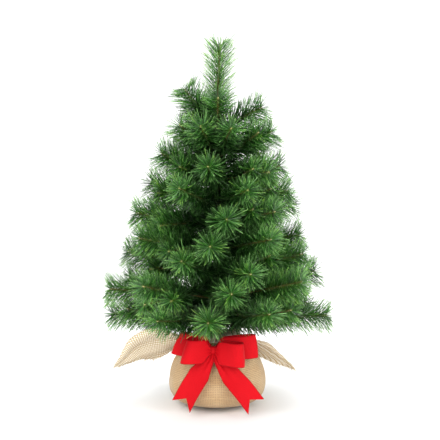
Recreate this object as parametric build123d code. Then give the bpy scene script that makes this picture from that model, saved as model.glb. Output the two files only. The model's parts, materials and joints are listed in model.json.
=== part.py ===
from build123d import *
import os
from math import atan2, cos, hypot, radians, sin

# Artificial tabletop tree: wired needle branches bound in tiers to a steel pole, a poured weight in a
# plastic bowl, a square of burlap gathered round the bowl and tied at the neck, and a ribbon bow.
# Millimetres. +Z is up and -Y is the front. The origin is the middle of the flat underside.
# Azimuths are degrees about +Z, from 0 at the front (-Y) towards +X.

# ---- driving dimensions -------------------------------------------------------------------------
TREE_HEIGHT = 600.0

CLOTH_THICKNESS = 1.2
# Half outline of the tied sack, from the edge of its flat base up to the neck: (radius, height).
SACK_OUTLINE = [(50, 0), (63, 2), (72, 7), (77.5, 18), (79.5, 31), (78, 46), (73, 61), (65, 74),
                (52, 86), (35, 95), (16, 100)]
NECK_RADIUS = 16.0
NECK_END = (15, 101)
NECK_TOP = 109.0
NECK_FILL_HEIGHT = 90.0
SACK_RADIUS = max(radius for radius, _ in SACK_OUTLINE)
CUT_MARGIN = 1.0  # how far a cutter runs past the face it cuts

BOWL_WALL = 1.6
BOWL_GAP = 0.3
BOWL_RIM_HEIGHT = 72.0
WEIGHT_TOP = 30.0
WEIGHT_GAP = 0.1

ROD_RADIUS = 3.0
ROD_FOOT_HEIGHT = 8.0
ROD_TOP_HEIGHT = 456.0
WRAP_RADIUS = 5.0
WRAP_GAP = 0.05
WRAP_TOP_HEIGHT = 457.0
BINDING_RADIUS = 6.4
BINDING_HALF_HEIGHT = 5.0
BINDING_CHAMFER = 1.2

# Branches: each pivots on the bend in its wire, just outside the binding.
PIVOT_RADIUS = 8.0
PIVOT_STAGGER = 2.0
WIRE_RADIUS = 1.0
WIRE_FOOT_RADIUS = 1.2
BARE_WIRE_LENGTH = 9.0
BRUSH_START_RADIUS = 1.6
BRUSH_CORE_RADIUS = 5.0
BRUSH_TAPER_END = 55.0
BRUSH_NOSE_LENGTH = 6.0
NOSE_SHOULDER = (0.8, 0.6)  # shares of the core radius and of the nose length

# Each tier: its height on the pole, then (azimuth, tip distance from the pole, tip height) per branch.
TIERS = [
    (137, [(-98, 180, 140), (-31, 174, 160), (-4, 176, 162), (28, 172, 171), (82, 182, 146),
           (140, 170, 152), (-152, 172, 150)]),
    (172, [(-80, 178, 191), (-46, 160, 208), (8, 160, 203), (58, 158, 211), (98, 166, 213),
           (176, 162, 200)]),
    (212, [(-94, 151, 246), (-21, 148, 250), (20, 150, 230), (72, 146, 251), (126, 148, 244),
           (-138, 150, 242)]),
    (250, [(-66, 136, 276), (-4, 138, 272), (38, 136, 280), (90, 136, 276), (154, 140, 282),
           (-116, 134, 278)]),
    (290, [(-84, 134, 314), (7, 124, 312), (49, 122, 321), (110, 132, 328), (-160, 128, 315)]),
    (328, [(-104, 114, 362), (-34, 107, 358), (27, 107, 356), (78, 118, 350), (140, 114, 358)]),
    (366, [(-74, 94, 412), (-8, 94, 392), (59, 98, 382), (100, 107, 390), (-146, 96, 402)]),
    (408, [(-56, 72, 457), (-20, 74, 455), (18, 74, 452), (80, 90, 447), (178, 78, 450)]),
    (450, [(-86, 53, 515), (2, 50, 500), (96, 74, 486), (-142, 54, 498)]),
]
LEADER_BASE_HEIGHT = 460.0
LEADER_LEAN = 2.0

# Burlap corners: azimuth, then (distance, height, width, roll) across the sheet from neck to tip.
CORNER_THICKNESS = 1.6
CORNERS = {
    "left": (-83, [(12, 110.5, 12, 0), (24, 110.5, 26, 4), (48, 104, 56, 15), (90, 93, 64, 46),
                   (128, 84, 54, 52), (152, 70, 28, 50), (172, 55, 5, 40)]),
    "right": (88, [(12, 110.5, 12, 0), (24, 110.5, 24, -4), (46, 104, 40, -20), (79, 86, 40, -50),
                   (104, 70, 24, -50), (131, 51, 5, -30)]),
    "back": (176, [(12, 110.5, 12, 0), (24, 110.5, 26, 0), (48, 104, 54, -5), (90, 88, 64, -20),
                   (128, 70, 42, -30), (162, 46, 5, -10)]),
    "front": (-6, [(12, 110.5, 12, 0), (24, 111.5, 22, 0), (42, 111, 30, 0), (56, 106, 28, 0)]),
}

TWINE_RADIUS = 1.5
TWINE_TURNS = 2
TWINE_LOOP_RADIUS = 17.6
TWINE_HEIGHT = 104.9

RIBBON_WIDTH = 38.0
RIBBON_THICKNESS = 0.9
KNOT_CENTRE = (-6.0, -69.0, 97.0)
KNOT_SIZE = (12.0, 14.0, 21.0)
KNOT_ROUND = 4.0
KNOT_WIRE_RADIUS = 0.8
KNOT_WIRE_LENGTH = 10.0
LOOP_ROOT_GAP = 1.6
LOOP_THROAT = (0.25, 0.62)  # shares of a loop's length and of its half fullness
LOOP_BELLY = 0.72  # share of a loop's length at which it is fullest
# Bow loops: direction in plan (0 is +X, towards the back is positive), rise, length, fullness, offsets.
LOOPS = {
    "front_right": (-22, -5, 46, 22, -6.0, 0.0),
    "front_left": (202, 2, 42, 22, -6.0, 0.0),
    "back_right": (10, 3, 66, 14, 0.5, 2.0),
    "back_left": (168, 8, 55, 14, 0.5, 3.0),
}
# Bow tails, from the knot down: centre line point, sideways lean of the ribbon's width, width.
TAILS = {
    "left": [((-9, -69.5, 85), 0, 5), ((-9, -73, 76), 0, 6), ((-15, -78, 69), -20, 20),
             ((-28, -83, 56), -32, 36), ((-43, -88, 36), -34, RIBBON_WIDTH),
             ((-57, -91, 14), -36, RIBBON_WIDTH)],
    "right": [((-3.8, -69.5, 85), 0, 4), ((-3.8, -73, 76), 0, 4), ((3, -78, 69), 20, 20),
              ((21, -84, 56), 35, 36), ((43, -89, 34), 38, RIBBON_WIDTH),
              ((62, -92, 14), 38, RIBBON_WIDTH)],
}
TAIL_NOTCH_DEPTH = 15.0


def revolve_outline(points):
    """A full solid of revolution about Z from a closed (radius, height) outline."""
    outline = make_face(Polyline(*[(r, 0, z) for r, z in points], close=True))
    return revolve(outline, Axis.Z)


def inset_outline(inset):
    """The sack's outline drawn in by inset, square to its own run."""
    inset_points = [(SACK_OUTLINE[0][0] - inset / 2, inset)]
    for before, here, after in zip(SACK_OUTLINE, SACK_OUTLINE[1:], SACK_OUTLINE[2:] + [NECK_END]):
        run_r, run_z = after[0] - before[0], after[1] - before[1]
        run = hypot(run_r, run_z)
        inset_points.append((here[0] - inset * run_z / run, here[1] + inset * run_r / run))
    return inset_points


def sack_space(inset, top):
    """The space inside the sack's outline, drawn in by inset and cut off level at height top."""
    points = [(r, 0, z) for r, z in inset_outline(inset)]
    roof = (0, 0, points[-1][2])
    floor = (0, 0, points[0][2])
    half = make_face([Spline(*points), Line(points[-1], roof), Line(roof, floor), Line(floor, points[0])])
    keep = Pos(0, 0, top / 2) * Cylinder(2 * SACK_RADIUS, top)
    return revolve(half, Axis.Z) & keep


def pole_hole(radius, low, high):
    """A cutter for the pole's hole between two heights."""
    return Pos(0, 0, (low + high) / 2) * Cylinder(radius, high - low)


def base_weight():
    """Poured cement inside the bowl, with the pole's socket."""
    inset = CLOTH_THICKNESS + BOWL_GAP + BOWL_WALL + WEIGHT_GAP
    solid = sack_space(inset, WEIGHT_TOP)
    return solid - pole_hole(ROD_RADIUS, ROD_FOOT_HEIGHT, 2 * WEIGHT_TOP)


def base_bowl():
    """Thin plastic bowl that the weight is poured in."""
    outer = sack_space(CLOTH_THICKNESS + BOWL_GAP, BOWL_RIM_HEIGHT)
    inner = sack_space(CLOTH_THICKNESS + BOWL_GAP + BOWL_WALL, BOWL_RIM_HEIGHT + CUT_MARGIN)
    return outer - inner


def burlap_sack():
    """The gathered sheet below the tie: a skin round the bowl, closed to a plug of folds at the neck."""
    neck_low = SACK_OUTLINE[-1][1]
    skin = sack_space(0, NECK_TOP) - sack_space(CLOTH_THICKNESS, NECK_FILL_HEIGHT)
    neck = Pos(0, 0, (neck_low + NECK_TOP) / 2) * Cylinder(NECK_RADIUS, NECK_TOP - neck_low)
    return skin + neck - pole_hole(ROD_RADIUS, NECK_FILL_HEIGHT - CUT_MARGIN, NECK_TOP + CUT_MARGIN)


def corner_section(azimuth, distance, height, width, roll, slope):
    """One thin rectangular section of a burlap corner, square to its run."""
    outward = Vector(sin(radians(azimuth)), -cos(radians(azimuth)), 0)
    run = outward * cos(slope) + Vector(0, 0, 1) * sin(slope)
    across = Vector(cos(radians(azimuth)), sin(radians(azimuth)), 0)
    across = across.rotate(Axis((0, 0, 0), run), roll)
    plane = Plane(origin=outward * distance + Vector(0, 0, height), x_dir=across, z_dir=run)
    return plane * Rectangle(width, CORNER_THICKNESS)


def burlap_corner(azimuth, stations):
    """A loose corner of the sheet that falls outward from the neck."""
    sections = []
    for index, (distance, height, width, roll) in enumerate(stations):
        before = stations[max(index - 1, 0)]
        after = stations[min(index + 1, len(stations) - 1)]
        slope = atan2(after[1] - before[1], after[0] - before[0])
        sections.append(corner_section(azimuth, distance, height, width, roll, slope))
    return loft(sections, ruled=True)


def burlap_corners():
    """All four loose corners, springing from the top of the neck."""
    corners = [burlap_corner(azimuth, stations) for azimuth, stations in CORNERS.values()]
    return Compound(children=corners)


def neck_tie():
    """Turns of jute twine pulled tight round the neck."""
    turns = []
    for turn in range(TWINE_TURNS):
        height = TWINE_HEIGHT + 2 * TWINE_RADIUS * (turn - (TWINE_TURNS - 1) / 2)
        turns.append(Pos(0, 0, height) * Torus(TWINE_LOOP_RADIUS, TWINE_RADIUS))
    return Compound(children=turns)


def trunk_rod():
    """Steel pole from its socket in the weight up to the leader."""
    length = ROD_TOP_HEIGHT - ROD_FOOT_HEIGHT
    return Pos(0, 0, ROD_FOOT_HEIGHT + length / 2) * Cylinder(ROD_RADIUS, length)


def trunk_wrap():
    """Tape sleeve round the pole, thickened to a binding at each tier."""
    inner = ROD_RADIUS + WRAP_GAP
    low = NECK_TOP + 1
    outline = [(inner, low), (WRAP_RADIUS, low)]
    for height, _ in TIERS:
        foot = height - BINDING_HALF_HEIGHT
        head = height + BINDING_HALF_HEIGHT
        outline += [(WRAP_RADIUS, foot), (BINDING_RADIUS, foot + BINDING_CHAMFER)]
        outline += [(BINDING_RADIUS, head - BINDING_CHAMFER), (WRAP_RADIUS, head)]
    outline += [(WRAP_RADIUS, WRAP_TOP_HEIGHT), (inner, WRAP_TOP_HEIGHT)]
    return revolve_outline(outline)


def needle_branch(length):
    """A wired brush along +Z from its pivot: bare wire, then the core of the needles."""
    body = length - BRUSH_NOSE_LENGTH
    shoulder_radius = BRUSH_CORE_RADIUS * NOSE_SHOULDER[0]
    shoulder_height = body + BRUSH_NOSE_LENGTH * NOSE_SHOULDER[1]
    outline = [
        (0, -WIRE_FOOT_RADIUS),
        (WIRE_FOOT_RADIUS, -WIRE_FOOT_RADIUS / 2),
        (WIRE_FOOT_RADIUS, WIRE_FOOT_RADIUS / 2),
        (WIRE_RADIUS, 2 * WIRE_FOOT_RADIUS),
        (WIRE_RADIUS, BARE_WIRE_LENGTH),
        (BRUSH_START_RADIUS, BARE_WIRE_LENGTH),
        (BRUSH_CORE_RADIUS, BRUSH_TAPER_END),
        (BRUSH_CORE_RADIUS, body),
        (shoulder_radius, shoulder_height),
        (WIRE_RADIUS, length),
        (0, length),
    ]
    return revolve_outline(outline)


def placed_branch(azimuth, pivot_height, tip_distance, tip_height):
    """A branch set between its pivot on the pole and its tip."""
    outward = Vector(sin(radians(azimuth)), -cos(radians(azimuth)), 0)
    pivot = outward * PIVOT_RADIUS + Vector(0, 0, pivot_height)
    run = outward * (tip_distance - PIVOT_RADIUS) + Vector(0, 0, tip_height - pivot_height)
    plane = Plane(origin=pivot, z_dir=run.normalized())
    return plane * needle_branch(run.length)


def leader():
    """The upright brush at the top, leaning slightly to the right."""
    length = (TREE_HEIGHT - LEADER_BASE_HEIGHT) / cos(radians(LEADER_LEAN))
    return Pos(0, 0, LEADER_BASE_HEIGHT) * Rot(0, LEADER_LEAN, 0) * needle_branch(length)


def loop_outline(length, fullness, inset):
    """A flattened teardrop in plan, drawn in by inset, with its narrow end at the knot."""
    near, far, half = inset, length - inset, fullness / 2 - inset
    throat = length * LOOP_THROAT[0]
    throat_half = half * LOOP_THROAT[1]
    belly = length * LOOP_BELLY
    points = [(near, 0), (throat, -throat_half), (belly, -half), (far, 0)]
    points += [(belly, half), (throat, throat_half)]
    return make_face(Spline(*points, periodic=True))


def bow_loop(heading, rise, length, fullness, depth_offset, height_offset):
    """One flattened loop of ribbon, a closed band standing on edge."""
    ring = loop_outline(length, fullness, 0) - loop_outline(length, fullness, RIBBON_THICKNESS)
    band = extrude(ring, RIBBON_WIDTH / 2, both=True)
    x, y, z = KNOT_CENTRE
    side = 1 if cos(radians(heading)) > 0 else -1
    root = (x + side * (KNOT_SIZE[0] / 2 + LOOP_ROOT_GAP), y + depth_offset, z + height_offset)
    return Pos(*root) * Rot(0, 0, heading) * Rot(0, -rise, 0) * band


def bow_loops():
    """Two front loops and two longer back loops."""
    return Compound(children=[bow_loop(*sizes) for sizes in LOOPS.values()])


def tail_section(point, toward, lean, width):
    """A thin section of a bow tail, square to its run."""
    across = Vector(cos(radians(lean)), 0, sin(radians(lean)))
    run = (Vector(*toward[1]) - Vector(*toward[0])).normalized()
    across = (across - run * across.dot(run)).normalized()
    plane = Plane(origin=Vector(*point), x_dir=across, z_dir=run)
    return plane * Rectangle(width, RIBBON_THICKNESS)


def bow_tail(stations):
    """One tail of ribbon, fanning out from the knot to a swallow-tail end."""
    sections = []
    for index, (point, lean, width) in enumerate(stations):
        before = stations[max(index - 1, 0)][0]
        after = stations[min(index + 1, len(stations) - 1)][0]
        sections.append(tail_section(point, (before, after), lean, width))
    tail = loft(sections, ruled=True)
    end, lean, width = stations[-1]
    run = (Vector(*end) - Vector(*stations[-2][0])).normalized()
    across = Vector(cos(radians(lean)), 0, sin(radians(lean)))
    across = (across - run * across.dot(run)).normalized()
    tip = Vector(*end)
    notch = Polyline(tip + run + across * width / 2, tip + run - across * width / 2,
                     tip - run * TAIL_NOTCH_DEPTH, close=True)
    return tail - extrude(make_face(notch), width / 4, both=True)


def bow_tails():
    """Both tails."""
    return Compound(children=[bow_tail(stations) for stations in TAILS.values()])


def bow_knot():
    """The pinched middle of the bow, with the wire that holds it to the sack."""
    x, y, z = KNOT_CENTRE
    width, depth, height = KNOT_SIZE
    knot = Pos(x, y, z) * fillet(Box(width, depth, height).edges(), KNOT_ROUND)
    wire_middle = y + depth / 2 + KNOT_WIRE_LENGTH / 2 - 1
    wire = Pos(x, wire_middle, z) * Rot(90, 0, 0) * Cylinder(KNOT_WIRE_RADIUS, KNOT_WIRE_LENGTH)
    return knot + wire


def save(name, shape):
    export_step(shape, os.path.join("parts", name + ".step"))


os.makedirs("parts", exist_ok=True)

save("base_weight", base_weight())
save("base_bowl", base_bowl())
save("trunk_rod", trunk_rod())
save("trunk_wrap", trunk_wrap())
save("burlap_sack", burlap_sack())
save("burlap_corners", burlap_corners())
save("neck_tie", neck_tie())
save("bow_loops", bow_loops())
save("bow_tails", bow_tails())
save("bow_knot", bow_knot())
save("leader", leader())

for tier, (height, branches) in enumerate(TIERS, start=1):
    for number, (azimuth, tip_distance, tip_height) in enumerate(branches, start=1):
        pivot_height = height + PIVOT_STAGGER * (-1) ** (number - 1)
        save(f"branch_{tier}_{number}", placed_branch(azimuth, pivot_height, tip_distance, tip_height))
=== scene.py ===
import json
import math

import bpy
import numpy as np
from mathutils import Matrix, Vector


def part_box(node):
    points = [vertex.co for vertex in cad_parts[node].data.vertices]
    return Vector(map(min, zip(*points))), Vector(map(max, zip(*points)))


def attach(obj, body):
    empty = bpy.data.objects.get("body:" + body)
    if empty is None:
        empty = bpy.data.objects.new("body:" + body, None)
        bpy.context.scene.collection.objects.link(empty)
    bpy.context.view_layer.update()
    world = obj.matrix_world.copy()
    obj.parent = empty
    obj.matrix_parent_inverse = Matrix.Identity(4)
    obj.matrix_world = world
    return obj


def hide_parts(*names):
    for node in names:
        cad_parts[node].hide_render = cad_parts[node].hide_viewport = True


# Looks of the artificial tabletop tree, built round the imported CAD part. Shapes are worked out in
# millimetres in the part's own frame (+Z up, -Y front) and scaled to metres as each mesh is made.
# Azimuths are degrees from 0 at the front (-Y) towards +X, as in the part.

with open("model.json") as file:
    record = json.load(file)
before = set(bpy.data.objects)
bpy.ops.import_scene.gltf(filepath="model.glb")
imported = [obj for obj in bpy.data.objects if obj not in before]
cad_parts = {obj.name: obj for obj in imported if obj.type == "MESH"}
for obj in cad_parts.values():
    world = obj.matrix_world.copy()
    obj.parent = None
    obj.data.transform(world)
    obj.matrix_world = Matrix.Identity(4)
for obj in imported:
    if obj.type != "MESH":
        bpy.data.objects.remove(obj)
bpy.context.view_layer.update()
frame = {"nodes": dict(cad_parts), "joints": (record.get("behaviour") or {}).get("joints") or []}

MM = 0.001
SEED = 20
UP = np.array([0.0, 0.0, 1.0])

# ---- sizes --------------------------------------------------------------------------------------
# Needle brushes: sizes in mm, angles in degrees from the stem. A front brush points at the front.
NEEDLE_LENGTH = (31.0, 35.0)
NEEDLE_WIDTH = 0.95
NEEDLE_DEPTH = 0.3
NEEDLE_ANGLE = 58.0
NEEDLE_ANGLE_SPREAD = 5.0
NEEDLE_PITCH = 4.2
NEEDLES_PER_TURN = 24
BLUNT_END_LENGTH = 13.0
BLUNT_END_ANGLE = 70.0
BLUNT_END_SHARE = 0.7
INNER_BREADTH = 1.5  # of a needle near the pole, times NEEDLE_WIDTH
OUTER_NARROWING = 0.5
FRONT_NARROWING = 0.15
FRONT_LEAN = 6.0
FRONT_SHORTENING = 0.26  # largest share taken off a needle of a front brush
LIGHTNESS_IN_PAINTED_SHADE = 0.2  # painted shade: share of a needle's lightness that is left near the pole
NEEDLES_PAST_TIP = 7.5
BARE_WIRE = (5.0, 11.0)

# Side tips: where they fork and how long they are, as shares of the branch
SPRIG_START = 0.36
SPRIG_SECOND_START = 0.24
SPRIG_LENGTH = 0.5
SPRIG_BARE_WIRE = 8.0
SPRIG_YAW = 26.0
SPRIG_PITCH = 11.0
SPRIG_FRONT_LIMIT = 0.7  # a branch that points to the front more than this has no side tip
SECOND_SPRIG_LIMIT = 0.5

# Leader, pole needles and stems
LONG_BARE_WIRE = {"branch_2_2": 62.0}
LEADER_NEEDLE_ANGLE = 52.0
LEADER_STEM_SHORTENING = 14.0
LEADER_DENSITY = 0.8
# Painted light: the leader's needles are painted this many times lighter
LEADER_PAINTED_LIGHT = 1.6
LEADER_BARE_WIRE = 2.0
LEADER_NEEDLES_PAST_TIP = 13.0
POLE_NEEDLES = 3400
POLE_NEEDLE_HEIGHTS = (122.0, 452.0)
POLE_NEEDLE_BREADTH = 1.7
STEM_RADIUS = 0.95
STEM_LOBE = 0.28
STEM_SIDES = 6
STEM_RING_STEP = 1.8
STEM_TWIST_PITCH = 6.4
STEM_CUT_LENGTH = 4.0

# Pole tape and its bindings, and the path of a wire's foot: (distance from the pole, drop below the bend)
TAPE_RADIUS = 4.7
TAPE_STEP = 0.5
TAPE_PITCH = 7.0
TAPE_BORE_RADIUS = 3.1
TAPE_RINGS = 420
TAPE_SIDES = 20
BINDING_DEPTH = 1.15
BINDING_HALF_HEIGHT = 5.6
WIRE_FOOT_PATH = [(4.6, -9.5), (5.5, -7.0), (6.1, -4.5), (6.7, -2.2), (7.3, -0.8), (8.0, 0.0)]
WIRE_FOOT_RADII = [1.0, 1.1, 1.1, 1.1, 1.1, 1.15]

# Burlap: the sack's half outline (radius, height), and each corner's (distance, height, width, roll).
SACK_OUTLINE = [(0, 0), (25, 0), (50, 0), (63, 2), (72, 7), (77.5, 18), (79.5, 31), (78, 46), (73, 61),
                (65, 74), (52, 86), (35, 95), (20, 99.5), (15.5, 103), (14.6, 109)]
CORNERS = [
    (-83, [(12, 110.5, 12, 0), (24, 110.5, 26, 4), (48, 104, 56, 15), (90, 98, 70, 50), (112, 95, 74, 54),
           (132, 88, 58, 56), (152, 72, 30, 52), (172, 57, 5, 40)]),
    (-6, [(12, 110.5, 12, 0), (24, 111.5, 22, 0), (42, 111, 30, 0), (56, 106, 28, 0)]),
    (88, [(12, 110.5, 12, 0), (24, 110.5, 24, -4), (46, 104, 40, -20), (79, 86, 40, -50),
          (104, 70, 24, -50), (131, 51, 5, -30)]),
    (176, [(12, 110.5, 12, 0), (24, 110.5, 26, 0), (48, 104, 54, -5), (90, 88, 64, -20), (128, 70, 42, -30),
           (162, 46, 5, -10)]),
]
CLOTH_THICKNESS = 0.8
CLOTH_SIDE = 520.0
THREAD_PITCH = 2.8
WEAVE_RADIUS = 79.0  # the weave is laid round the cloth as on a cylinder of this radius
FLAP_RUN = 170.0  # length over which the weave is laid along a corner
LOOSE_FROM, LOOSE_TO = 0.205, 0.235  # metres from the sheet's middle where the weave opens up, with painted light in its gaps
RUFFLE_SHARE = 0.24
CLOTH_COLUMNS = 256
WALL_ROWS = 84
CORNER_ROWS = 44
NECK_PLEATS = 26

# Twine
TWINE_LOOP_RADIUS = 17.6
TWINE_HEIGHT = 104.9
TWINE_THICKNESS = 3.0
TWINE_PLIES = 3
TWINE_PLY_RADIUS = 0.85
TWINE_PLY_OFFSET = 0.75
TWINE_TWISTS = 26

# Bow
RIBBON_WIDTH = 38.0
RIBBON_THICKNESS = 0.8
KNOT_CENTRE = np.array([-6.0, -69.0, 97.0])
NOTCH_DEPTH = 15.0


# Studio, in metres: the floor lies a little below the cloth, and the camera looks at a point on the pole.
FLOOR_DROP = 0.0002
CAMERA_PLACE = (0.005, -1.594, 0.440)
CAMERA_TARGET_HEIGHT = 0.3008


# ---- small helpers ------------------------------------------------------------------------------
def srgb(red, green, blue):
    """A linear colour from 8-bit sRGB levels."""
    levels = [level / 255 for level in (red, green, blue)]
    return [v / 12.92 if v <= 0.04045 else ((v + 0.055) / 1.055) ** 2.4 for v in levels] + [1.0]


def smooth(t):
    """Smooth step from 0 to 1 as t goes from 0 to 1."""
    t = np.clip(t, 0.0, 1.0)
    return t * t * (3 - 2 * t)


def unit(v):
    """Vectors scaled to length 1 along the last axis."""
    return v / np.maximum(np.linalg.norm(v, axis=-1, keepdims=True), 1e-9)


def outward(azimuth):
    """Horizontal unit vectors pointing away from the pole at these azimuths in degrees."""
    a = np.radians(azimuth)
    return np.stack([np.sin(a), -np.cos(a), np.zeros_like(a)], axis=-1)


def rolled_noise(rng, count, lowest, highest):
    """Count sine terms (frequencies and phases) for a repeatable smooth noise."""
    return rng.uniform(lowest, highest, (count, 2)), rng.uniform(0, 2 * np.pi, count)


def waves(terms, a, b):
    """Smooth noise of two coordinates from the terms, about -1 to 1."""
    frequencies, phases = terms
    total = np.zeros(np.broadcast(a, b).shape)
    for (fa, fb), phase in zip(frequencies, phases):
        total += np.sin(fa * a + fb * b + phase)
    return total / math.sqrt(len(phases))


def even_path(points, count):
    """A smooth curve through the points, as count points evenly spaced along it."""
    points = np.array(points, float)
    before = np.vstack([2 * points[0] - points[1], points[:-1]])
    after = np.vstack([points[1:], 2 * points[-1] - points[-2]])
    tangent = (after - before) / 2
    dense = []
    for k in range(len(points) - 1):
        t = np.linspace(0, 1, 24, endpoint=False)[:, None]
        dense.append((2 * t**3 - 3 * t**2 + 1) * points[k] + (t**3 - 2 * t**2 + t) * tangent[k]
                     + (3 * t**2 - 2 * t**3) * points[k + 1] + (t**3 - t**2) * tangent[k + 1])
    dense = np.vstack(dense + [points[-1:]])
    along = np.concatenate([[0], np.cumsum(np.linalg.norm(np.diff(dense, axis=0), axis=1))])
    wanted = np.linspace(0, along[-1], count)
    even = [np.interp(wanted, along, dense[:, k]) for k in range(points.shape[1])]
    return np.stack(even, axis=1), along[-1]


def grid_faces(rows, columns, wrap=False):
    """Quads of a grid of rows x columns vertices; wrap joins the last column to the first."""
    r = np.arange(rows - 1)[:, None]
    c = np.arange(columns if wrap else columns - 1)[None, :]
    n = (c + 1) % columns
    this, above = r * columns, (r + 1) * columns
    quads = np.stack([this + c, this + n, above + n, above + c], axis=-1)
    return quads.reshape(-1, 4).tolist()


def new_piece(name, vertices, faces, material, body="base", shaded_smooth=True, colours=None,
              vectors=None):
    """A mesh piece, in millimetres, that rides on a body. colours and vectors are per-vertex attributes."""
    mesh = bpy.data.meshes.new(name)
    mesh.from_pydata((np.asarray(vertices, float) * MM).tolist(), [], faces)
    mesh.polygons.foreach_set("use_smooth", [shaded_smooth] * len(mesh.polygons))
    if colours is not None:
        layer = mesh.color_attributes.new(name="tint", type="FLOAT_COLOR", domain="POINT")
        rgba = np.concatenate([colours, np.ones((len(colours), 1))], axis=1)
        layer.data.foreach_set("color", rgba.astype(np.float32).ravel())
    if vectors is not None:
        layer = mesh.attributes.new(name="lay", type="FLOAT_VECTOR", domain="POINT")
        layer.data.foreach_set("vector", vectors.astype(np.float32).ravel())
    mesh.materials.append(material)
    piece = bpy.data.objects.new(name, mesh)
    bpy.context.scene.collection.objects.link(piece)
    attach(piece, body)
    return piece


def thicken(piece, thickness, offset):
    """Gives a cloth piece its thickness."""
    solid = piece.modifiers.new("thickness", "SOLIDIFY")
    solid.thickness = thickness * MM
    solid.offset = offset
    return piece


def strand(path, radius, sides=5, twist=0.0, lobe=0.0):
    """Vertices and faces of a closed tube along a path. radius is one number or one per point."""
    path = np.asarray(path, float)
    count = len(path)
    run = unit(np.gradient(path, axis=0))
    guide = UP if abs(run[0][2]) < 0.9 else np.array([1.0, 0.0, 0.0])
    side = unit(np.cross(run[0], guide))
    radii = np.broadcast_to(np.asarray(radius, float), (count,))
    angles = np.linspace(0, 2 * np.pi, sides, endpoint=False)
    along = np.concatenate([[0], np.cumsum(np.linalg.norm(np.diff(path, axis=0), axis=1))])
    vertices = []
    for k in range(count):
        side = unit(side - run[k] * np.dot(side, run[k]))
        other = np.cross(run[k], side)
        r = radii[k] * (1 + lobe * np.cos(2 * (angles - twist * along[k])))
        vertices.append(path[k] + np.outer(np.cos(angles) * r, side) + np.outer(np.sin(angles) * r, other))
    faces = grid_faces(count, sides, wrap=True)
    faces.append(list(range(sides))[::-1])
    faces.append([(count - 1) * sides + k for k in range(sides)])
    return np.vstack(vertices), faces


def joined(parts):
    """Several (vertices, faces) put together as one."""
    vertices, faces, start = [], [], 0
    for points, polygons in parts:
        vertices.append(points)
        faces += [[index + start for index in polygon] for polygon in polygons]
        start += len(points)
    return np.vstack(vertices), faces


# ---- materials ----------------------------------------------------------------------------------
def node(tree, kind, inputs=None, **settings):
    """Adds a shader node with its settings, input values and links."""
    made = tree.nodes.new(kind)
    for name, value in settings.items():
        setattr(made, name, value)
    for name, value in (inputs or {}).items():
        if isinstance(value, bpy.types.NodeSocket):
            tree.links.new(value, made.inputs[name])
        else:
            made.inputs[name].default_value = value
    return made


def ramp(tree, factor, stops):
    """A colour that runs through the stops (position, colour) as factor goes from 0 to 1."""
    made = node(tree, "ShaderNodeValToRGB", {"Fac": factor})
    elements = made.color_ramp.elements
    while len(elements) < len(stops):
        elements.new(0.5)
    for element, (position, colour) in zip(elements, stops):
        element.position = position
        element.color = colour
    return made.outputs["Color"]


def mixed(tree, factor, first, second, blend="MIX"):
    """Two colours mixed."""
    made = node(tree, "ShaderNodeMix", data_type="RGBA", blend_type=blend)
    for index, value in ((0, factor), (6, first), (7, second)):
        if isinstance(value, bpy.types.NodeSocket):
            tree.links.new(value, made.inputs[index])
        else:
            made.inputs[index].default_value = value
    return made.outputs[2]


def maths(tree, operation, first, second=0.0):
    """One sum on two numbers."""
    return node(tree, "ShaderNodeMath", {0: first, 1: second}, operation=operation).outputs[0]


def noise(tree, scale, detail=3.0, vector=None, roughness=0.55):
    """Noise from the vector, or from the object's own coordinates."""
    if vector is None:
        vector = node(tree, "ShaderNodeTexCoord").outputs["Object"]
    inputs = {"Vector": vector, "Scale": scale, "Detail": detail, "Roughness": roughness}
    return node(tree, "ShaderNodeTexNoise", inputs).outputs[0]


def start_material(name, roughness, metallic=0.0):
    """A material, its node tree and its shader."""
    material = bpy.data.materials.new(name)
    material.use_nodes = True
    tree = material.node_tree
    shader = tree.nodes["Principled BSDF"]
    shader.inputs["Roughness"].default_value = roughness
    shader.inputs["Metallic"].default_value = metallic
    return material, tree, shader


def bump(tree, shader, height, strength, distance):
    """Raises the shader's surface by a height."""
    made = node(tree, "ShaderNodeBump", {"Height": height, "Strength": strength, "Distance": distance * MM})
    tree.links.new(made.outputs["Normal"], shader.inputs["Normal"])


def needle_material():
    """Cut PVC needles: dark at the root and lighter to the tip, each a little different, with painted shade
    near the pole and in front brushes and painted light on the leader; tan wire.
    """
    material, tree, shader = start_material("pvc_needles", 0.32)
    tint = node(tree, "ShaderNodeAttribute", attribute_name="tint").outputs["Color"]
    parts = node(tree, "ShaderNodeSeparateColor", {"Color": tint}).outputs
    tone_with_painted_shade_and_light, along, wire = parts[0], parts[1], parts[2]
    green = ramp(tree, along, [(0.0, srgb(140, 146, 66)), (0.14, srgb(68, 120, 40)),
                               (0.5, srgb(56, 124, 42)), (1.0, srgb(140, 194, 112))])
    # Painted shade and light: the first tint channel, a random tone times the painted lightness, darkens
    # the green
    shade = ramp(tree, tone_with_painted_shade_and_light, [(0.0, srgb(60, 80, 60)), (0.5, srgb(190, 204, 182)),
                                (0.84, srgb(255, 255, 240)), (0.88, srgb(255, 244, 180)),
                                (1.0, srgb(255, 248, 196))])
    leaf = mixed(tree, 1.0, green, shade, "MULTIPLY")
    stem = ramp(tree, wire, [(0.0, srgb(96, 92, 52)), (0.55, srgb(138, 124, 76)),
                             (1.0, srgb(226, 218, 150))])
    rough = noise(tree, 900.0, 2.0)
    stem = mixed(tree, maths(tree, "MULTIPLY", rough, 0.5), stem, srgb(70, 66, 40))
    is_wire = maths(tree, "GREATER_THAN", wire, 0.2)
    tree.links.new(mixed(tree, is_wire, leaf, stem), shader.inputs["Base Color"])
    return material


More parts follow.
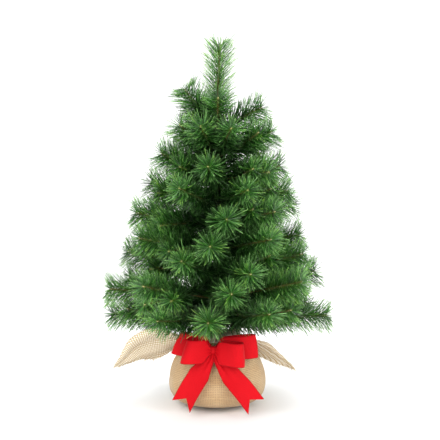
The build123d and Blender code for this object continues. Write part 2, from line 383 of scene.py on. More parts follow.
def burlap_material(name, warp, weft, gap_painted_shade_and_light, patch, pale, gap_painted_light):
    """Open jute weave. A point's lay says how far it is round and along the cloth and from its middle."""
    material, tree, shader = start_material(name, 0.9)
    lay = node(tree, "ShaderNodeAttribute", attribute_name="lay").outputs["Vector"]
    wobble = noise(tree, 90.0, 2.0, lay)
    slub = noise(tree, 260.0, 3.0, lay)
    axes = node(tree, "ShaderNodeSeparateXYZ", {"Vector": lay}).outputs
    thread = 2 * math.pi / (THREAD_PITCH * MM)
    shift = maths(tree, "MULTIPLY", wobble, 4.0)
    across = maths(tree, "ADD", maths(tree, "MULTIPLY", axes[0], thread), shift)
    down = maths(tree, "ADD", maths(tree, "MULTIPLY", axes[1], thread), shift)
    warp_up = maths(tree, "ABSOLUTE", maths(tree, "SINE", maths(tree, "MULTIPLY", across, 0.5)))
    weft_up = maths(tree, "ABSOLUTE", maths(tree, "SINE", maths(tree, "MULTIPLY", down, 0.5)))
    over = maths(tree, "MAXIMUM", warp_up, weft_up)
    under = maths(tree, "MINIMUM", warp_up, weft_up)
    colour = ramp(tree, slub, [(0.3, warp), (0.55, weft), (0.75, warp)])
    tone = noise(tree, 22.0, 3.0, lay)
    patchy = ramp(tree, tone, [(0.35, srgb(0, 0, 0)), (0.7, srgb(200, 200, 200))])
    colour = mixed(tree, patchy, colour, patch)
    opening = {"Value": axes[2], "From Min": LOOSE_FROM, "From Max": LOOSE_TO}
    loose = node(tree, "ShaderNodeMapRange", opening).outputs[0]
    colour = mixed(tree, loose, colour, mixed(tree, 0.9, colour, pale))
    # Painted light: where the weave opens up, the gaps are painted near white as if lit through
    gap_painted_shade_and_light = mixed(tree, loose, gap_painted_shade_and_light, gap_painted_light)
    tight = ramp(tree, over, [(0.35, srgb(255, 255, 255)), (0.75, srgb(0, 0, 0))])
    slack = ramp(tree, over, [(0.76, srgb(255, 255, 255)), (0.9, srgb(0, 0, 0))])
    # Painted shade in the gaps between the threads of the tight weave, painted light in the gaps of the
    # loose weave
    colour = mixed(tree, mixed(tree, loose, tight, slack), colour, gap_painted_shade_and_light)
    tree.links.new(colour, shader.inputs["Base Color"])
    height = maths(tree, "ADD", over, maths(tree, "MULTIPLY", under, 0.6))
    height = maths(tree, "ADD", height, maths(tree, "MULTIPLY", slub, 0.5))
    bump(tree, shader, height, 0.7, 0.5)
    shader.inputs["Sheen Weight"].default_value = 0.15
    return material


def ribbon_material():
    """Flocked red ribbon."""
    material, tree, shader = start_material("flocked_ribbon", 0.72)
    lay = node(tree, "ShaderNodeAttribute", attribute_name="lay").outputs["Vector"]
    nap = noise(tree, 1400.0, 2.0, lay)
    drift = noise(tree, 60.0, 2.0, lay)
    colour = ramp(tree, nap, [(0.3, srgb(174, 0, 12)), (0.6, srgb(204, 1, 20)), (0.8, srgb(214, 6, 28))])
    colour = mixed(tree, maths(tree, "MULTIPLY", drift, 0.35), colour, srgb(188, 0, 10))
    across = node(tree, "ShaderNodeSeparateXYZ", {"Vector": lay}).outputs[1]
    edge = maths(tree, "GREATER_THAN", maths(tree, "ABSOLUTE", across), (RIBBON_WIDTH / 2 - 0.9) * MM)
    colour = mixed(tree, edge, colour, srgb(168, 4, 18))
    tree.links.new(colour, shader.inputs["Base Color"])
    bump(tree, shader, nap, 0.25, 0.3)
    shader.inputs["Sheen Weight"].default_value = 0.05
    shader.inputs["Sheen Roughness"].default_value = 0.45
    shader.inputs["Sheen Tint"].default_value = srgb(255, 120, 120)
    shader.inputs["Specular IOR Level"].default_value = 0.15
    return material


def mottled_material(name, dark, light, scale, roughness, depth=0.2, metallic=0.0):
    """A plain surface with some variation in colour and height."""
    material, tree, shader = start_material(name, roughness, metallic)
    grain = noise(tree, scale, 4.0)
    tree.links.new(ramp(tree, grain, [(0.3, dark), (0.7, light)]), shader.inputs["Base Color"])
    bump(tree, shader, grain, 0.4, depth)
    return material


def floor_material():
    """Matt white floor and backdrop, with a trace of unevenness."""
    material, tree, shader = start_material("studio_floor", 0.95)
    tone = noise(tree, 1.5, 1.0)
    tree.links.new(ramp(tree, tone, [(0.0, srgb(244, 244, 244)), (1.0, srgb(250, 250, 250))]),
                   shader.inputs["Base Color"])
    shader.inputs["Specular IOR Level"].default_value = 0.1
    return material


needles = needle_material()
# The gap colours are painted shade in the gaps of the tight weave and painted light through the gaps of the
# loose weave
jute = burlap_material("burlap_weave", srgb(202, 170, 126), srgb(176, 144, 102), srgb(104, 78, 50),
                       srgb(212, 188, 150), srgb(190, 166, 122), srgb(248, 244, 230))
frays = mottled_material("frayed_jute", srgb(190, 166, 122), srgb(226, 208, 170), 700.0, 0.9)
twine_fibre = mottled_material("twine_fibre", srgb(150, 120, 74), srgb(206, 178, 128), 900.0, 0.9)
ribbon = ribbon_material()
tape = mottled_material("crepe_tape", srgb(52, 56, 34), srgb(92, 88, 56), 500.0, 0.8)
bent_wire = mottled_material("bent_wire", srgb(96, 90, 54), srgb(140, 130, 84), 800.0, 0.5)
steel = mottled_material("painted_steel", srgb(38, 52, 38), srgb(52, 68, 50), 200.0, 0.45, 0.05)
cement = mottled_material("poured_cement", srgb(140, 138, 132), srgb(178, 176, 170), 160.0, 0.9)
plastic = mottled_material("bowl_plastic", srgb(28, 28, 28), srgb(42, 42, 42), 90.0, 0.5, 0.05)


# ---- needle brushes -----------------------------------------------------------------------------
def brush_needles(rng, pivot, axis, length, bare, angle, beyond, density, upright):
    """Vertices, faces and tints of the needles along a stem, set in a tight spiral.

    The upright leader has no blunt end, no painted shade near the pole, and painted light all along.
    """
    count = int((length - bare) / NEEDLE_PITCH * NEEDLES_PER_TURN * density)
    place = bare + (length - bare) * (np.arange(count) + 0.5) / count
    turn = 2 * np.pi * place / NEEDLE_PITCH + rng.normal(0, 0.12, count)
    place = np.clip(place + rng.normal(0, 0.5, count), bare, length - 0.5)
    across = unit(np.cross(axis, UP if abs(axis[2]) < 0.9 else [0.0, 1.0, 0.0]))
    other = np.cross(axis, across)
    radial = np.outer(np.cos(turn), across) + np.outer(np.sin(turn), other)

    to_front = 0.0 if upright else smooth((-axis[1] - 0.6) / 0.3)
    to_tip = np.clip((length - place) / BLUNT_END_LENGTH, 0, 1)
    lean = angle + (0.0 if upright else (BLUNT_END_ANGLE - angle) * (1 - to_tip))
    lean = lean + rng.normal(0, NEEDLE_ANGLE_SPREAD * (1 + to_front), count)
    lean = np.radians(lean - FRONT_LEAN * to_front)
    reach = rng.uniform(*NEEDLE_LENGTH, count) * (BLUNT_END_SHARE + (1 - BLUNT_END_SHARE) * to_tip)
    reach *= 1 - 0.18 * (rng.random(count) < 0.12)
    reach *= 1 - (1 - to_tip) * rng.uniform(0, 0.4, count)
    reach *= 0.55 + 0.45 * smooth((place - bare) / 10)
    reach *= 1 - to_front * rng.uniform(0.0, FRONT_SHORTENING, count)
    reach = np.minimum(reach, (length + beyond - place) / np.maximum(np.cos(lean), 0.05))
    run = np.outer(np.ones(count), axis) * np.cos(lean)[:, None] + radial * np.sin(lean)[:, None]
    tangent = np.cross(axis, radial)
    roll = rng.uniform(0, np.pi, count)
    flat = unit(tangent * np.cos(roll)[:, None] + np.cross(run, tangent) * np.sin(roll)[:, None])
    curl = axis * 0.10 + rng.normal(0, 0.07 + 0.06 * to_front, (count, 3)) + np.array([0, 0, -0.03])
    root = pivot + np.outer(place, axis) + radial * STEM_RADIUS * 0.7

    # light is each needle's painted lightness: painted shade darkens needles near the pole and all but the
    # tip end of a front brush, and the leader gets painted light
    share = place / length
    outer = np.ones(count) if upright else smooth((share - 0.2) / 0.5)
    light = LIGHTNESS_IN_PAINTED_SHADE + (1 - LIGHTNESS_IN_PAINTED_SHADE) * outer * (1 - to_front * (1 - smooth((share - 0.6) / 0.3)))
    light = light * (LEADER_PAINTED_LIGHT if upright else 1.0)
    breadth = INNER_BREADTH - (OUTER_NARROWING + FRONT_NARROWING * to_front) * outer
    return needle_mesh(rng, root, run * reach[:, None], curl * reach[:, None], flat, light, breadth)


def needle_mesh(rng, root, run, curl, flat, light, breadth):
    """Vertices, faces and tints of cut needles. All but rng hold one value or vector for each needle."""
    count = len(root)
    face = unit(np.cross(run, flat))
    rings = []
    along = []
    for share, width in ((0.0, 1.0), (1.0, 0.75)):
        centre = root + (run + curl) * share
        half = (NEEDLE_WIDTH * width / 2 * breadth)[:, None]
        rings += [centre - flat * half, centre + face * NEEDLE_DEPTH, centre + flat * half]
        along += [share] * 3
    vertices = np.stack(rings, axis=1)
    per = vertices.shape[1]
    pattern = [[2, 1, 0], [0, 1, 4, 3], [1, 2, 5, 4], [2, 0, 3, 5], [3, 4, 5]]
    faces = []
    for start in range(0, count * per, per):
        faces += [[start + index for index in polygon] for polygon in pattern]
    tint = np.zeros((count, per, 3))
    # The first channel is a random tone times light, so it carries the painted shade and painted light
    tint[:, :, 0] = (rng.random(count) * light)[:, None]
    tint[:, :, 1] = np.array(along)[None, :]
    return vertices.reshape(-1, 3), faces, tint.reshape(-1, 3)


def brush_stem(pivot, axis, length):
    """Vertices, faces and tints of a twisted wire stem with a pale cut end."""
    count = max(int(length / STEM_RING_STEP), 8)
    places = np.linspace(0, length, count)
    path = pivot + np.outer(places, axis)
    radius = np.full(count, STEM_RADIUS)
    radius[0] *= 0.7
    radius[-1] *= 0.55
    points, faces = strand(path, radius, STEM_SIDES, 2 * np.pi / STEM_TWIST_PITCH, STEM_LOBE)
    tint = np.zeros((len(points), 3))
    tint[:, 2] = 0.55
    tint[places.repeat(STEM_SIDES) > length - STEM_CUT_LENGTH, 2] = 1.0
    return points, faces, tint


def needle_brush(name, pivot, tip, angle, bare, beyond, rng, density=1.0, upright=False, sprigs=()):
    """A wired brush in place of the CAD node of that name, riding on the body of that name.

    sprigs holds the side of each side tip, 1 or -1.
    """
    run = tip - pivot
    length = float(np.linalg.norm(run))
    axis = run / length
    made = [brush_needles(rng, pivot, axis, length, bare, angle, beyond, density, upright),
            brush_stem(pivot, axis, length)]
    for sprig in sprigs:
        level = unit(np.cross(UP, axis))
        yaw = math.radians(SPRIG_YAW * sprig)
        pitch = math.radians(SPRIG_PITCH if name.startswith("branch_1") else -SPRIG_PITCH * sprig)
        side_axis = unit(axis * math.cos(yaw) + level * math.sin(yaw) + UP * math.sin(pitch))
        fork = pivot + axis * length * (SPRIG_START if sprig == sprigs[0] else SPRIG_SECOND_START)
        side_length = length * SPRIG_LENGTH
        made.append(brush_needles(rng, fork, side_axis, side_length, SPRIG_BARE_WIRE, angle, beyond,
                                  density, upright))
        made.append(brush_stem(fork, side_axis, side_length))
    vertices, faces = joined([(points, polygons) for points, polygons, _ in made])
    tints = np.vstack([tint for _, _, tint in made])
    piece = new_piece("needles_" + name, vertices, faces, needles, name, False, tints)
    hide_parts(name)


pivots = {joint["child"]: np.array(joint["pos_m"]) / MM for joint in frame["joints"]}
for index, (name, pivot) in enumerate(sorted(pivots.items())):
    points = np.array([v.co for v in frame["nodes"][name].data.vertices]) / MM
    far = points[np.argsort(np.linalg.norm(points - pivot, axis=1))[-6:]].mean(axis=0)
    rng = np.random.default_rng(SEED + index)
    if name == "leader":
        short = far - LEADER_STEM_SHORTENING * unit(far - pivot)
        needle_brush(name, pivot, short, LEADER_NEEDLE_ANGLE, LEADER_BARE_WIRE, LEADER_NEEDLES_PAST_TIP,
                     rng, LEADER_DENSITY, upright=True)
    else:
        bare = LONG_BARE_WIRE.get(name, rng.uniform(*BARE_WIRE))
        toward_front = -(far - pivot)[1] / np.linalg.norm(far - pivot)
        first = (-1) ** index
        bare_sides = toward_front > SPRIG_FRONT_LIMIT or name.startswith("branch_9")
        sprigs = [] if bare_sides else [first]
        if sprigs and toward_front < SECOND_SPRIG_LIMIT:
            sprigs.append(-first)
        needle_brush(name, pivot, far, NEEDLE_ANGLE, bare, NEEDLES_PAST_TIP, rng, sprigs=sprigs)


# ---- pole: tape, bindings and the bent feet of the wires -----------------------------------------
def taped_pole():
    """Tape wound up the pole, over a binding at each tier."""
    low, high = (corner[2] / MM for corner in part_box("trunk_wrap"))
    tiers = sorted({name.split("_")[1] for name in pivots if name != "leader"})
    z = np.linspace(low, high, TAPE_RINGS)[:, None]
    a = np.linspace(0, 2 * np.pi, TAPE_SIDES, endpoint=False)[None, :]
    wound = ((z / TAPE_PITCH + a / (2 * np.pi)) % 1.0)
    radius = TAPE_RADIUS + TAPE_STEP * wound**2
    for tier in tiers:
        height = np.mean([p[2] for name, p in pivots.items() if name.startswith(f"branch_{tier}_")])
        edge = smooth((BINDING_HALF_HEIGHT - np.abs(z - height)) / 1.6)
        radius = radius + BINDING_DEPTH * edge * (1 - 0.25 * wound)
    points = np.stack([radius * np.cos(a), radius * np.sin(a), z + 0 * a], axis=-1).reshape(-1, 3)
    faces = grid_faces(TAPE_RINGS, TAPE_SIDES, wrap=True)
    ends = np.array([[low], [high]])
    bore = TAPE_BORE_RADIUS + 0 * ends
    inner = np.stack([bore * np.cos(a), bore * np.sin(a), ends + 0 * a], axis=-1).reshape(-1, 3)
    start = len(points)
    last = start - TAPE_SIDES
    above = start + TAPE_SIDES
    for k in range(TAPE_SIDES):
        n = (k + 1) % TAPE_SIDES
        faces.append([k, start + k, start + n, n])
        faces.append([last + k, last + n, above + n, above + k])
        faces.append([start + k, above + k, above + n, start + n])
    piece = new_piece("pole_tape", np.vstack([points, inner]), faces, tape)
    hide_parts("trunk_wrap")


def pole_needles():
    """Needles wound in under the pole's tape, which hide the pole between the branches."""
    rng = np.random.default_rng(SEED - 1)
    count = POLE_NEEDLES
    low, high = POLE_NEEDLE_HEIGHTS
    height = np.sort(rng.uniform(low, high, count))
    angle = np.arange(count) * 2.4 + rng.normal(0, 0.2, count)
    radial = np.stack([np.cos(angle), np.sin(angle), 0 * angle], axis=1)
    rise = np.radians(rng.normal(18, 14, count))
    reach = 1.15 * rng.uniform(*NEEDLE_LENGTH, count) * np.clip((high + 30 - height) / 60, 0.5, 1.0)
    run = radial * np.cos(rise)[:, None] + UP * np.sin(rise)[:, None]
    tangent = np.cross(UP, radial)
    roll = rng.uniform(0, np.pi, count)[:, None]
    flat = unit(tangent * np.cos(roll) + np.cross(run, tangent) * np.sin(roll))
    root = radial * 5.0
    root[:, 2] = height
    curl = rng.normal(0, 1.2, (count, 3))
    # Painted shade: every pole needle gets the darkened lightness of needles near the pole
    light, breadth = np.full(count, LIGHTNESS_IN_PAINTED_SHADE), np.full(count, POLE_NEEDLE_BREADTH)
    vertices, faces, tints = needle_mesh(rng, root, run * reach[:, None], curl, flat, light, breadth)
    new_piece("pole_needles", vertices, faces, needles, colours=tints, shaded_smooth=False)


def wire_feet():
    """The bent end of each branch wire, from the tape out to the bend."""
    parts = []
    for name, pivot in pivots.items():
        if name == "leader":
            continue
        out = unit(np.array([pivot[0], pivot[1], 0.0]))
        path = [out * distance + UP * (pivot[2] + drop) for distance, drop in WIRE_FOOT_PATH]
        parts.append(strand(path, WIRE_FOOT_RADII, 8))
    vertices, faces = joined(parts)
    new_piece("wire_feet", vertices, faces, bent_wire)


taped_pole()
pole_needles()
wire_feet()


# ---- burlap -------------------------------------------------------------------------------------
def cloth_azimuth(turn):
    """Azimuth on the tree of a direction on the sheet; turn runs 0 to 4, a whole number at each corner."""
    azimuths = [corner[0] for corner in CORNERS] + [CORNERS[0][0] + 360]
    return np.interp(turn, np.arange(5), azimuths)


def mirrored(azimuth):
    """Degrees from the front, the same on both sides, so that a weave laid by it has no seam."""
    return np.abs((azimuth + 180) % 360 - 180)


def neck_pleats(turn, pleats, seed):
    """Height of the pleats round the neck, 0 to 1."""
    rng = np.random.default_rng(seed)
    phase = turn * np.pi / 2 * pleats
    for times in (2, 3, 5):
        phase = phase + rng.uniform(0.6, 1.2) * np.sin(times * turn * np.pi / 2 + rng.uniform(0, 6))
    return (0.5 + 0.5 * np.cos(phase)) ** 1.4


def wall_points(turn):
    """The sack from the middle of its underside to the top of the neck, for each direction."""
    profile, length = even_path(SACK_OUTLINE, WALL_ROWS)
    radius, height = profile[:, 0][:, None], profile[:, 1][:, None]
    azimuth = cloth_azimuth(turn)[None, :]
    angle = np.radians(azimuth)
    fine = neck_pleats(turn, NECK_PLEATS, 1)[None, :]
    broad = neck_pleats(turn, 11, 2)[None, :]
    rise = smooth((height - 52) / 46)
    lift = rise**1.3 * (5.0 * fine + 2.4 * broad * smooth((100 - height) / 20))
    lift = lift + 1.3 * broad * smooth((height - 14) / 45) * smooth((96 - height) / 30)
    terms = rolled_noise(np.random.default_rng(7), 7, 2.0, 5.0)
    uneven = waves(terms, np.sin(angle) * 2 + 0 * height, np.cos(angle) * 2 + height * 0.02)
    lift = lift + 0.7 * (1 + uneven) * smooth((height - 3) / 12) * smooth((98 - height) / 20)
    fold = smooth((azimuth - 18) / 12) * smooth((32.5 - azimuth) / 1.6)
    lift = lift + 4.2 * fold * smooth((height - 8) / 20) * smooth((96 - height) / 20)
    tied = smooth((height - 95) / 6)
    lift = lift * (1 - tied) + (4.2 * fine - 2.8) * tied
    spread = radius + lift
    out = outward(cloth_azimuth(turn))
    points = out[None, :, :] * spread[:, :, None]
    points[:, :, 2] = height + 0 * azimuth
    path = np.linspace(0, length, WALL_ROWS)[:, None] + 0 * azimuth
    return points, path


def corner_points(turn, neck_ring):
    """The loose cloth above the tie: four long corners with short ruffles between them.

    Gives the points, the shares of the way to the edge, each column's share of a corner's length, and the
    weave's place round the cloth.
    """
    q = np.linspace(0, 1, CORNER_ROWS + 1)[1:][:, None]
    nearest = np.round(turn).astype(int)
    w = (turn - nearest) * 2
    corner_of = nearest % 4
    out = outward(cloth_azimuth(turn))
    x_edge = 1 - (1 - RUFFLE_SHARE) * np.abs(w) ** 0.9
    x = q * x_edge[None, :]
    fan_out = 15 + 30 * q ** 0.9 * (1 + 0.25 * neck_pleats(turn, 14, 5)[None, :])
    fan = out[None, :, :] * fan_out[:, :, None]
    fan[:, :, 2] = 110 + 7 * np.sin(q * 2.2) - 9 * q**2 + 5 * (neck_pleats(turn, 18, 4)[None, :] - 0.5) * q
    points = np.zeros_like(fan)
    round_way = WEAVE_RADIUS * np.radians(mirrored(cloth_azimuth(turn)))[None, :] + 0 * x
    in_flap = np.zeros_like(x)
    for number, (azimuth, stations) in enumerate(CORNERS):
        chosen = corner_of == number
        line, _ = even_path([station[:2] for station in stations], 60)
        sizes = np.array(stations, float)
        run_share = np.concatenate([[0], np.cumsum(np.hypot(*np.diff(sizes[:, :2], axis=0).T))])
        run_share /= run_share[-1]
        t = np.linspace(0, 1, 60)
        xs = x[:, chosen]
        ws = np.broadcast_to(w[chosen][None, :], xs.shape)
        distance = np.interp(xs, t, line[:, 0])
        height = np.interp(xs, t, line[:, 1])
        climb, advance = np.gradient(line[:, 1]), np.gradient(line[:, 0])
        slope = np.arctan2(np.interp(xs, t, climb), np.interp(xs, t, advance))
        half = np.interp(xs, run_share, sizes[:, 2]) / 2
        roll = np.radians(np.interp(xs, run_share, sizes[:, 3]))
        edge_w = (np.clip((1 - xs) / (1 - RUFFLE_SHARE), 0, 1) + 1e-6) ** (1 / 0.9)
        side_share = np.clip(ws / edge_w, -1, 1)
        away = outward(np.array(float(azimuth)))
        level = np.array([-away[1], away[0], 0.0])
        normal = -away * np.sin(slope)[..., None] + UP * np.cos(slope)[..., None]
        across = level * np.cos(roll)[..., None] + normal * np.sin(roll)[..., None]
        lift_way = -level * np.sin(roll)[..., None] + normal * np.cos(roll)[..., None]
        deep = smooth(xs / 0.25) * (0.35 + 0.65 * smooth((1 - xs) / 0.3))
        folds = 3.0 * np.sin(side_share * 6.5 + number * 1.3 + 1.5 * xs) + np.sin(side_share * 14 + number)
        curl = -3.5 * side_share**2 + 1.0
        lift = deep * (folds + curl)
        here = away * distance[..., None] + UP * height[..., None]
        here = here + across * (half * side_share)[..., None] + lift_way * lift[..., None]
        points[:, chosen] = here
        way = 1 if azimuth > 0 else -1
        in_flap[:, chosen] = WEAVE_RADIUS * math.radians(abs(azimuth)) + half * side_share * way
    in_corner = smooth(x / 0.30) * (1 - smooth((np.abs(w)[None, :] - 0.62) / 0.38))
    round_way = in_flap * in_corner + round_way * (1 - in_corner)
    points = points * in_corner[..., None] + fan * (1 - in_corner)[..., None]
    start = smooth(q / 0.12)[..., None]
    points = neck_ring[None] * (1 - start) + points * start
    return points, q, x_edge, round_way


def burlap_sheet():
    """One square sheet gathered round the bowl, tied at the neck, with its corners hanging out."""
    turn = np.linspace(0, 4, CLOTH_COLUMNS, endpoint=False)
    wall, wall_path = wall_points(turn)
    corners, q, x_edge, round_way = corner_points(turn, wall[-1])
    points = np.concatenate([wall[1:], corners])
    off_corner = np.abs(turn - np.round(turn)) * np.pi / 2
    edge = CLOTH_SIDE / 2 / np.cos(np.pi / 4 - off_corner)
    top = wall_path[-1]
    path = np.concatenate([wall_path[1:], top + (np.maximum(edge, top + 20) - top)[None, :] * q])
    wall_round = WEAVE_RADIUS * np.radians(mirrored(cloth_azimuth(turn)))[None, :] + 0 * wall_path[1:]
    run = np.concatenate([wall_path[1:], wall_path[-1] + q * x_edge[None, :] * FLAP_RUN])
    lay = np.stack([np.concatenate([wall_round, round_way]), run, path], axis=-1) * MM
    rows = len(points)
    vertices = np.vstack([[[0, 0, 0]], points.reshape(-1, 3)])
    faces = [[1 + (k + 1) % CLOTH_COLUMNS, 1 + k, 0] for k in range(CLOTH_COLUMNS)]
    faces += [[index + 1 for index in quad] for quad in grid_faces(rows, CLOTH_COLUMNS, wrap=True)]
    lays = np.vstack([[[0, 0, 0]], lay.reshape(-1, 3)])
    piece = new_piece("burlap_sheet", vertices, faces, jute, vectors=lays)
    thicken(piece, CLOTH_THICKNESS, -1.0)
    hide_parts("burlap_sack", "burlap_corners")
    return piece, points


def frayed_edge(points):
    """Loose thread ends along the cut edge of the sheet."""
    rng = np.random.default_rng(31)
    edge, inside = points[-1], points[-3]
    away = unit(edge - inside)
    along = unit(np.roll(edge, -1, axis=0) - np.roll(edge, 1, axis=0))
    parts = []
    for k in range(CLOTH_COLUMNS):
        for _ in range(2):
            reach = rng.uniform(2.5, 7.0)
            sway = along[k] * rng.normal(0, 0.35) + np.array([0, 0, -0.25]) + rng.normal(0, 0.12, 3)
            start = edge[k] + (np.roll(edge, -1, axis=0)[k] - edge[k]) * rng.random() - away[k] * 1.5
            shares = np.linspace(0, 1, 4)[:, None]
            path = start + away[k] * reach * shares + sway * reach * shares**2
            parts.append(strand(path, [0.34, 0.3, 0.26, 0.12], 3))
    vertices, faces = joined(parts)
    return new_piece("burlap_fray", vertices, faces, frays)


cloth, cloth_points = burlap_sheet()
fray = frayed_edge(cloth_points)


def twine_turns():
    """Two turns of three-strand jute twine round the neck."""
    parts = []
    for turn in (-0.5, 0.5):
        a = np.linspace(0, 2 * np.pi, 97)
        for ply in range(TWINE_PLIES):
            spin = TWINE_TWISTS * a + ply * 2 * np.pi / TWINE_PLIES
            radius = TWINE_LOOP_RADIUS + TWINE_PLY_OFFSET * np.cos(spin)
            height = TWINE_HEIGHT + TWINE_THICKNESS * turn + TWINE_PLY_OFFSET * np.sin(spin)
            path = np.stack([radius * np.cos(a), radius * np.sin(a), height], axis=1)
            parts.append(strand(path, TWINE_PLY_RADIUS, 6))
    vertices, faces = joined(parts)
    piece = new_piece("neck_twine", vertices, faces, twine_fibre)
    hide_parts("neck_tie")


twine_turns()


# ---- bow ----------------------------------------------------------------------------------------
def ribbon_piece(name, points, along, across, node_name):
    """A ribbon from a grid of points, with each point's place on the flat ribbon."""
    rows, columns = points.shape[:2]
    lay = np.stack([along + 0 * across, across + 0 * along, 0 * along + 0 * across], axis=-1) * MM
    piece = new_piece(name, points.reshape(-1, 3), grid_faces(rows, columns), ribbon,
                      vectors=lay.reshape(-1, 3))
    thicken(piece, RIBBON_THICKNESS, 0.0)
    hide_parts(node_name)
    return piece


def bow_loop(name, heading, rise, length, fullness, depth_offset, height_offset, slant, gather):
    """A loop of ribbon on edge, gathered where it meets the knot."""
    rows, columns = 72, 15
    half = fullness / 2
    front = [(0, 0.6), (length * 0.2, half * 0.5), (length * 0.7, half), (length * 0.93, half * 0.72)]
    outline = front + [(length, 0)] + [(x, -y) for x, y in front[::-1]]
    plan, run = even_path(outline, rows)
    v = np.linspace(-1, 1, columns)[None, :]
    reach = plan[:, 0][:, None]
    opened = smooth(reach / gather)
    tall = RIBBON_WIDTH / 2 * (0.32 + 0.68 * opened)
    pleat = (1 - opened) * 1.6 * np.cos(v * 3 * np.pi)
    side = np.where(plan[:, 1] >= 0, 1.0, -1.0)[:, None]
    belly = 1.6 * opened * (1 - v**2) * side
    x = reach * (1 - slant * v) + 0.8 * np.cos(v * 1.6) * opened
    y = plan[:, 1][:, None] + pleat * 0.6 + belly
    z = v * tall + 0 * reach
    h, r = math.radians(heading), math.radians(rise)
    out = np.array([math.cos(h) * math.cos(r), math.sin(h) * math.cos(r), math.sin(r)])
    flat = np.array([-math.sin(h), math.cos(h), 0.0])
    up = np.cross(out, flat)
    sideways = 1 if math.cos(h) > 0 else -1
    root = KNOT_CENTRE + np.array([sideways * 4.0, depth_offset, height_offset])
    points = root + x[..., None] * out + y[..., None] * flat + z[..., None] * up
    along = np.linspace(0, run, rows)[:, None]
    piece = ribbon_piece(name, points, along, v * RIBBON_WIDTH / 2, "bow_loops")


def bow_tail(name, stations, bulge, turn):
    """A tail of ribbon that fans out from the knot to a swallow-tail end, turned about its run by turn."""
    rows, columns = 60, 21
    centre, run = even_path([station[0] for station in stations], rows)
    marks = np.linspace(0, 1, len(stations))
    t = np.linspace(0, 1, rows)
    lean = np.radians(np.interp(t, marks, [station[1] for station in stations]))
    width = np.interp(t, marks, [station[2] for station in stations])
    heading = unit(np.gradient(centre, axis=0))
    across = np.stack([np.cos(lean), 0 * lean, np.sin(lean)], axis=1)
    across = unit(across - heading * np.sum(across * heading, axis=1, keepdims=True))
    normal = np.cross(across, heading)
    turned = math.radians(turn) * smooth(t * 1.6)[:, None]
    cos, sin = np.cos(turned), np.sin(turned)
    across, normal = across * cos + normal * sin, normal * cos - across * sin
    v = np.linspace(-1, 1, columns)
    stretch = np.where(t > 0.7, (t - 0.7) / 0.3, 0)[:, None] * NOTCH_DEPTH * (1 - np.abs(v))[None, :]
    points = centre[:, None] + across[:, None] * (v[None, :, None] * width[:, None, None] / 2)
    points = points - heading[:, None] * stretch[..., None]
    fullness = (1 - width / RIBBON_WIDTH)[:, None]
    wave = 2.2 * fullness * np.cos(v * 2.6 * np.pi)[None, :]
    wave = wave + bulge * (1 - v**2)[None, :] * smooth(t * 2)[:, None]
    wave = wave + 1.6 * np.sin(t * 7.0)[:, None] * smooth(t * 2 - 0.4)[:, None]
    points = points + normal[:, None] * wave[..., None]
    along = np.linspace(0, run, rows)[:, None] - stretch
    piece = ribbon_piece(name, points, along, (v * RIBBON_WIDTH / 2)[None, :], "bow_tails")


def bow_knot():
    """The pinched middle: a short band of ribbon drawn tight round the gathers."""
    rows, columns = 64, 17
    a = np.linspace(0, 2 * np.pi, rows, endpoint=False)[:, None]
    v = np.linspace(-1, 1, columns)[None, :]
    pinch = 1 - 0.16 * (1 - v**2)
    crease = 0.35 * np.cos(v * 4 * np.pi + 0.8 * np.sin(a * 2))
    depth = (6.2 * pinch + crease) * np.cos(a)
    height = (8.6 * pinch + crease) * np.sin(a)
    x = v * 4.4 * (1 + 0.10 * np.cos(a * 3 + 1.0))
    points = KNOT_CENTRE + np.stack([x + 0 * a, -depth, height], axis=-1)
    ends = [points[:, 0].mean(axis=0), points[:, -1].mean(axis=0)]
    vertices = np.vstack([points.reshape(-1, 3), ends])
    faces = []
    for k in range(rows):
        n = (k + 1) % rows
        for c in range(columns - 1):
            faces.append([k * columns + c, k * columns + c + 1, n * columns + c + 1, n * columns + c])
        faces.append([n * columns, rows * columns, k * columns])
        faces.append([k * columns + columns - 1, rows * columns + 1, n * columns + columns - 1])
    lay = np.stack([a * 8 + 0 * v, v * 5 + 0 * a, 0 * a + 0 * v], axis=-1).reshape(-1, 3)
    lay = np.vstack([lay, [[0, 0, 0], [0, 0, 0]]]) * MM
    tie, tie_faces = strand([KNOT_CENTRE + [0, dy, 0] for dy in (5.0, 9.0, 13.0, 16.0)], 0.8, 8)
    vertices, faces = joined([(vertices, faces), (tie, tie_faces)])
    lay = np.vstack([lay, np.zeros((len(tie), 3))])
    piece = new_piece("bow_centre", vertices, faces, ribbon, vectors=lay)
    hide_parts("bow_knot")


bow_loop("loop_front_right", -20, -2, 47, 18, -6.0, -1.0, 0.04, 10)
bow_loop("loop_front_left", 200, 3, 44, 18, -6.0, 1.0, 0.12, 15)
bow_loop("loop_back_right", 10, 3, 67, 14, 0.5, 2.0, 0.02, 14)
bow_loop("loop_back_left", 168, 8, 57, 14, 0.5, 3.0, 0.10, 14)
bow_tail("tail_left",
         [((-8, -72, 92), 0, 9), ((-11, -75, 85), -14, 22), ((-18, -79, 76), -26, 36),
          ((-28, -83, 62), -30, 38), ((-40, -87, 42), -32, 38), ((-57.5, -90, 12), -38, 38)], 2.0, -33)
bow_tail("tail_right",
         [((-3, -72, 92), 0, 9), ((1, -75, 85), 14, 20), ((9, -79, 75), 32, 34),
          ((24, -83, 58), 38, 38), ((42, -87, 37), 40, 38), ((63, -90, 11.5), 36, 38)], 2.0, 33)
bow_knot()

for name, material in (("trunk_rod", steel), ("base_weight", cement), ("base_bowl", plastic)):
    mesh = frame["nodes"][name].data
    mesh.materials.clear()
    mesh.materials.append(material)


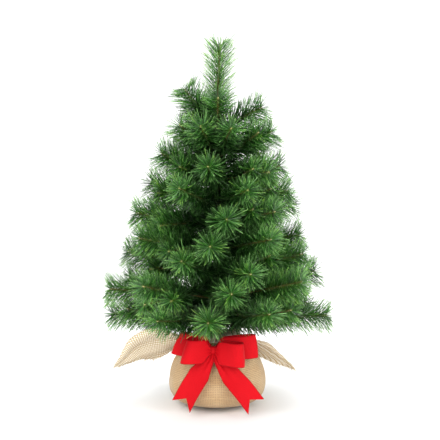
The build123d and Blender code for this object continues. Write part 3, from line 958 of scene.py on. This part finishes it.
# ---- studio -------------------------------------------------------------------------------------
def studio_floor():
    """A floor that sweeps up into a backdrop behind and in front."""
    rise = [(1.6, 0), (2.2, 0.05), (2.7, 0.25), (3.0, 0.7), (3.1, 1.4), (3.1, 4.0)]
    profile = [(-y, z) for y, z in rise[::-1]] + rise
    curve, _ = even_path(profile, 48)
    x = np.linspace(-5, 5, 9)
    across = np.broadcast_to(x, (len(curve), len(x)))
    points = np.stack([across, curve[:, 0][:, None] + 0 * x, curve[:, 1][:, None] + 0 * x], axis=-1)
    mesh = bpy.data.meshes.new("floor")
    vertices = points.reshape(-1, 3) - [0, 0, FLOOR_DROP]
    mesh.from_pydata(vertices.tolist(), [], grid_faces(len(curve), len(x)))
    mesh.polygons.foreach_set("use_smooth", [True] * len(mesh.polygons))
    mesh.materials.append(floor_material())
    floor = bpy.data.objects.new("floor", mesh)
    bpy.context.scene.collection.objects.link(floor)


def soft_light(name, place, target, width, power):
    """A large square light aimed at a point, in metres and watts."""
    lamp = bpy.data.lights.new(name, "AREA")
    lamp.size = width
    lamp.energy = power
    light = bpy.data.objects.new(name, lamp)
    light.location = place
    direction = np.array(target, float) - np.array(place, float)
    light.rotation_euler = look_along(direction)
    bpy.context.scene.collection.objects.link(light)


def look_along(direction):
    """Rotation that points an object's -Z along the direction with +Y up."""
    return Vector(direction).to_track_quat("-Z", "Y").to_euler()


studio_floor()
soft_light("key", (-1.3, -2.1, 2.0), (0, 0, 0.3), 2.4, 66)
soft_light("fill", (1.9, -1.7, 1.2), (0, 0, 0.3), 1.6, 36)
soft_light("top", (0.1, 0.4, 2.6), (0, 0, 0.3), 1.8, 46)

world = bpy.data.worlds.new("studio")
world.use_nodes = True
world.node_tree.nodes["Background"].inputs["Color"].default_value = (1, 1, 1, 1)
world.node_tree.nodes["Background"].inputs["Strength"].default_value = 0.66
bpy.context.scene.world = world
bpy.context.scene.view_settings.view_transform = "Standard"

lens = bpy.data.cameras.new("camera")
lens.sensor_width = 36
lens.lens = 79.25
camera = bpy.data.objects.new("camera", lens)
camera.location = CAMERA_PLACE
camera.rotation_euler = look_along((0.0, -CAMERA_PLACE[1], CAMERA_TARGET_HEIGHT - CAMERA_PLACE[2]))
bpy.context.scene.collection.objects.link(camera)
bpy.context.scene.camera = camera
